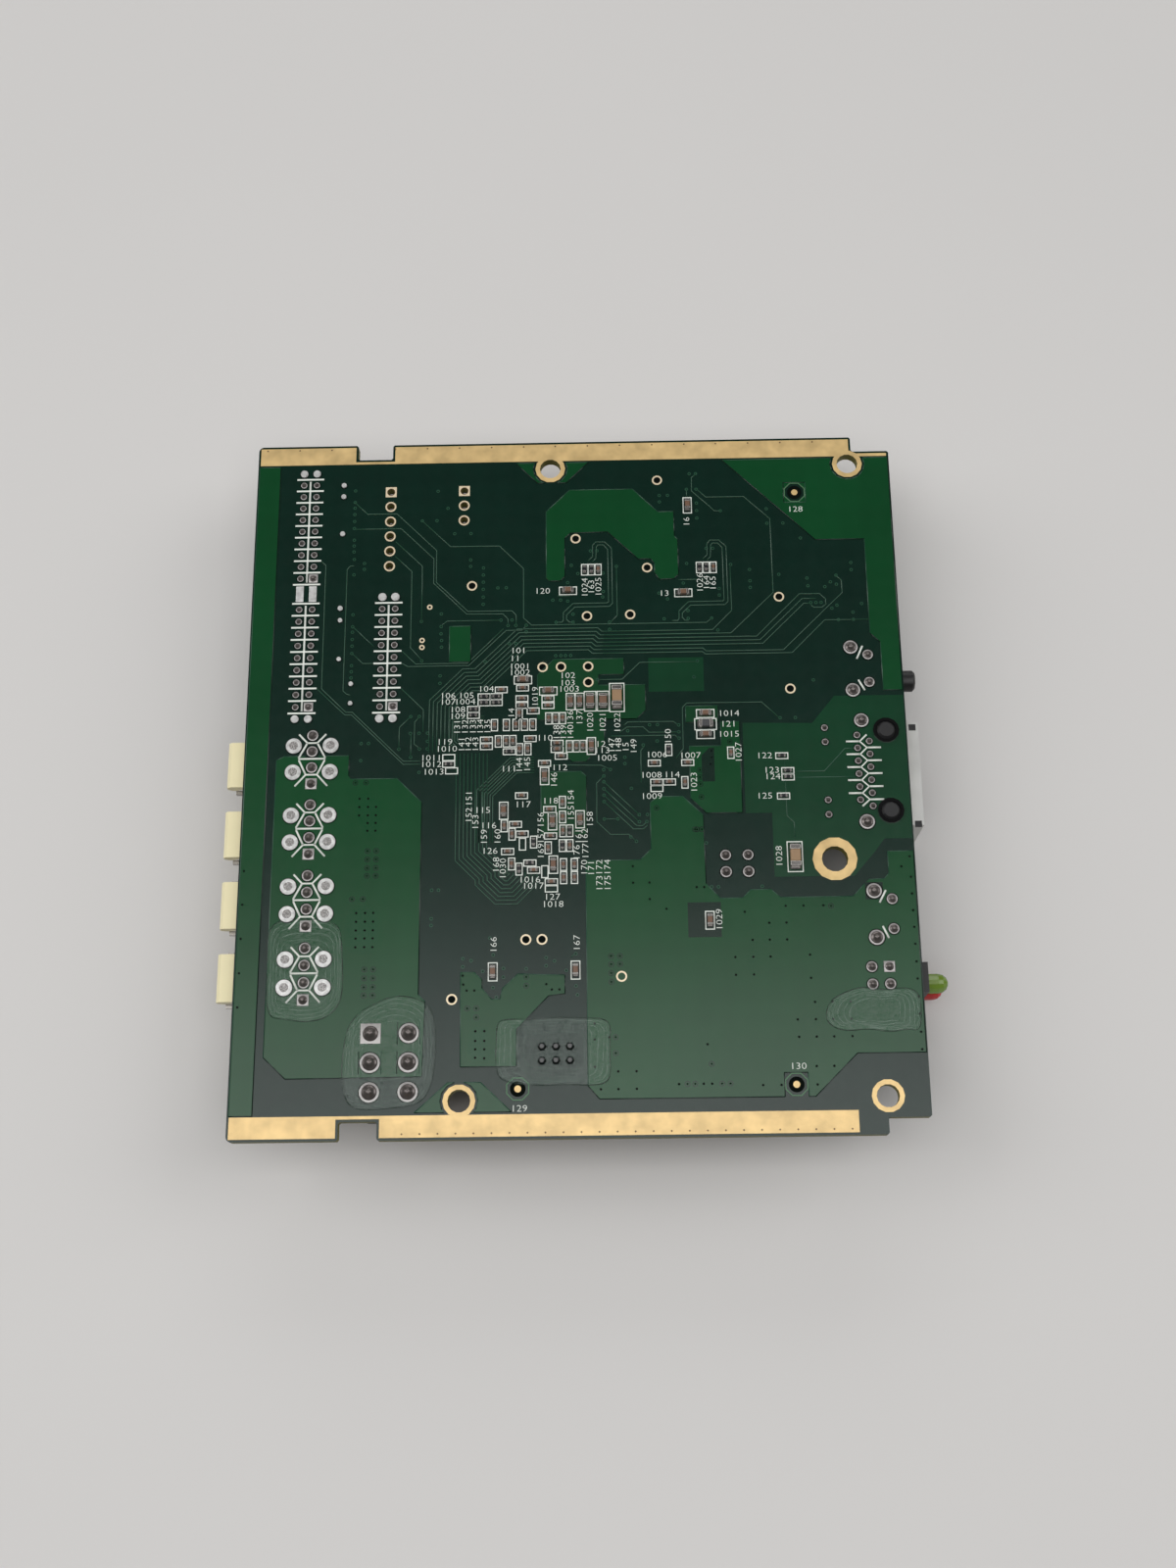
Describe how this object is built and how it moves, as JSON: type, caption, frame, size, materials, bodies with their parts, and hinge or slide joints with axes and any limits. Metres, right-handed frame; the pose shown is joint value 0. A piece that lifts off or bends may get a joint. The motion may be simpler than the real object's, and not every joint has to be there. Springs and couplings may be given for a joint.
{
  "type": "control board",
  "caption": "Green printed controller board lying component side down: bare gold guide strips, pin headers, fan and power headers, network jack, side buttons and lamps.",
  "frame": {"origin": "under the middle of the whole object, on the surface that it stands on", "axes": "+X towards the network jack, +Y towards the far gold strip, +Z out of the soldered side"},
  "size_m": [0.1074, 0.109, 0.0164],
  "materials": {
    "solder_mask_dark": "glossy dark green mask",
    "solder_mask_light": "glossy lighter green mask over copper",
    "gold_plate": "thin bright gold plate",
    "solder": "bright tin solder",
    "white_print": "matt white ink",
    "black_plastic": "moulded, fine grain",
    "cream_nylon": "natural nylon, slightly glossy",
    "tinned_pin": "tinned brass",
    "jack_steel": "nickel plated sheet",
    "gold_contact": "gold plated wire",
    "tan_ceramic": "fired ceramic",
    "black_ceramic": "black glaze",
    "ferrite_grey": "pressed ferrite",
    "chip_black": "moulded epoxy",
    "can_aluminium": "drawn can",
    "sealant_black": "wet-looking sealant",
    "green_lens": "tinted clear resin",
    "red_lens": "tinted clear resin"
  },
  "bodies": {
    "board_assembly": {"board": "solder_mask_dark", "copper_pours": "solder_mask_light", "edge_strips": "gold_plate", "aiming_marks": "gold_plate", "thief_pads": "solder", "solder_fillets": "solder", "silk_lines": "white_print", "sealant_beads": "sealant_black", "header_a_housing": "black_plastic", "header_a_pins": "tinned_pin", "header_b_housing": "black_plastic", "header_b_pins": "tinned_pin", "header_c_housing": "black_plastic", "header_c_pins": "tinned_pin", "fan_header_1_housing": "cream_nylon", "fan_header_1_pins": "tinned_pin", "fan_header_2_housing": "cream_nylon", "fan_header_2_pins": "tinned_pin", "fan_header_3_housing": "cream_nylon", "fan_header_3_pins": "tinned_pin", "fan_header_4_housing": "cream_nylon", "fan_header_4_pins": "tinned_pin", "power_header_housing": "black_plastic", "power_header_pins": "tinned_pin", "signal_header_housing": "black_plastic", "signal_header_pins": "tinned_pin", "jumper_housings": "black_plastic", "jumper_header_pins": "tinned_pin", "jack_shell": "jack_steel", "jack_insert": "black_plastic", "jack_contacts": "gold_contact", "jack_pins": "tinned_pin", "far_button_housing": "black_plastic", "far_button_bracket": "jack_steel", "far_button_pins": "tinned_pin", "near_button_housing": "black_plastic", "near_button_bracket": "jack_steel", "near_button_pins": "tinned_pin", "lamp_holder": "black_plastic", "lamp_green": "green_lens", "lamp_red": "red_lens", "lamp_leads": "tinned_pin", "tiny_capacitors": "tan_ceramic", "small_capacitors": "tan_ceramic", "medium_capacitors": "tan_ceramic", "large_capacitors": "tan_ceramic", "ferrite_bead": "ferrite_grey", "tiny_resistors": "black_ceramic", "processor": "chip_black", "memory_chip": "chip_black", "flash_memory": "chip_black", "network_chip": "chip_black", "converter_chips": "chip_black", "crystals": "jack_steel", "inductors": "ferrite_grey", "can_capacitors": "can_aluminium", "can_feet": "black_plastic"},
    "far_plunger": {"far_button_plunger": "black_plastic"},
    "near_plunger": {"near_button_plunger": "black_plastic"}
  },
  "joints": [
    {"name": "far_button_press", "type": "slide", "parent": "board_assembly", "child": "far_plunger", "axis": [-1, 0, 0], "range_m": [0, 0.00025], "stiffness_N_per_m": 400},
    {"name": "near_button_press", "type": "slide", "parent": "board_assembly", "child": "near_plunger", "axis": [-1, 0, 0], "range_m": [0, 0.00025], "stiffness_N_per_m": 400}
  ]
}
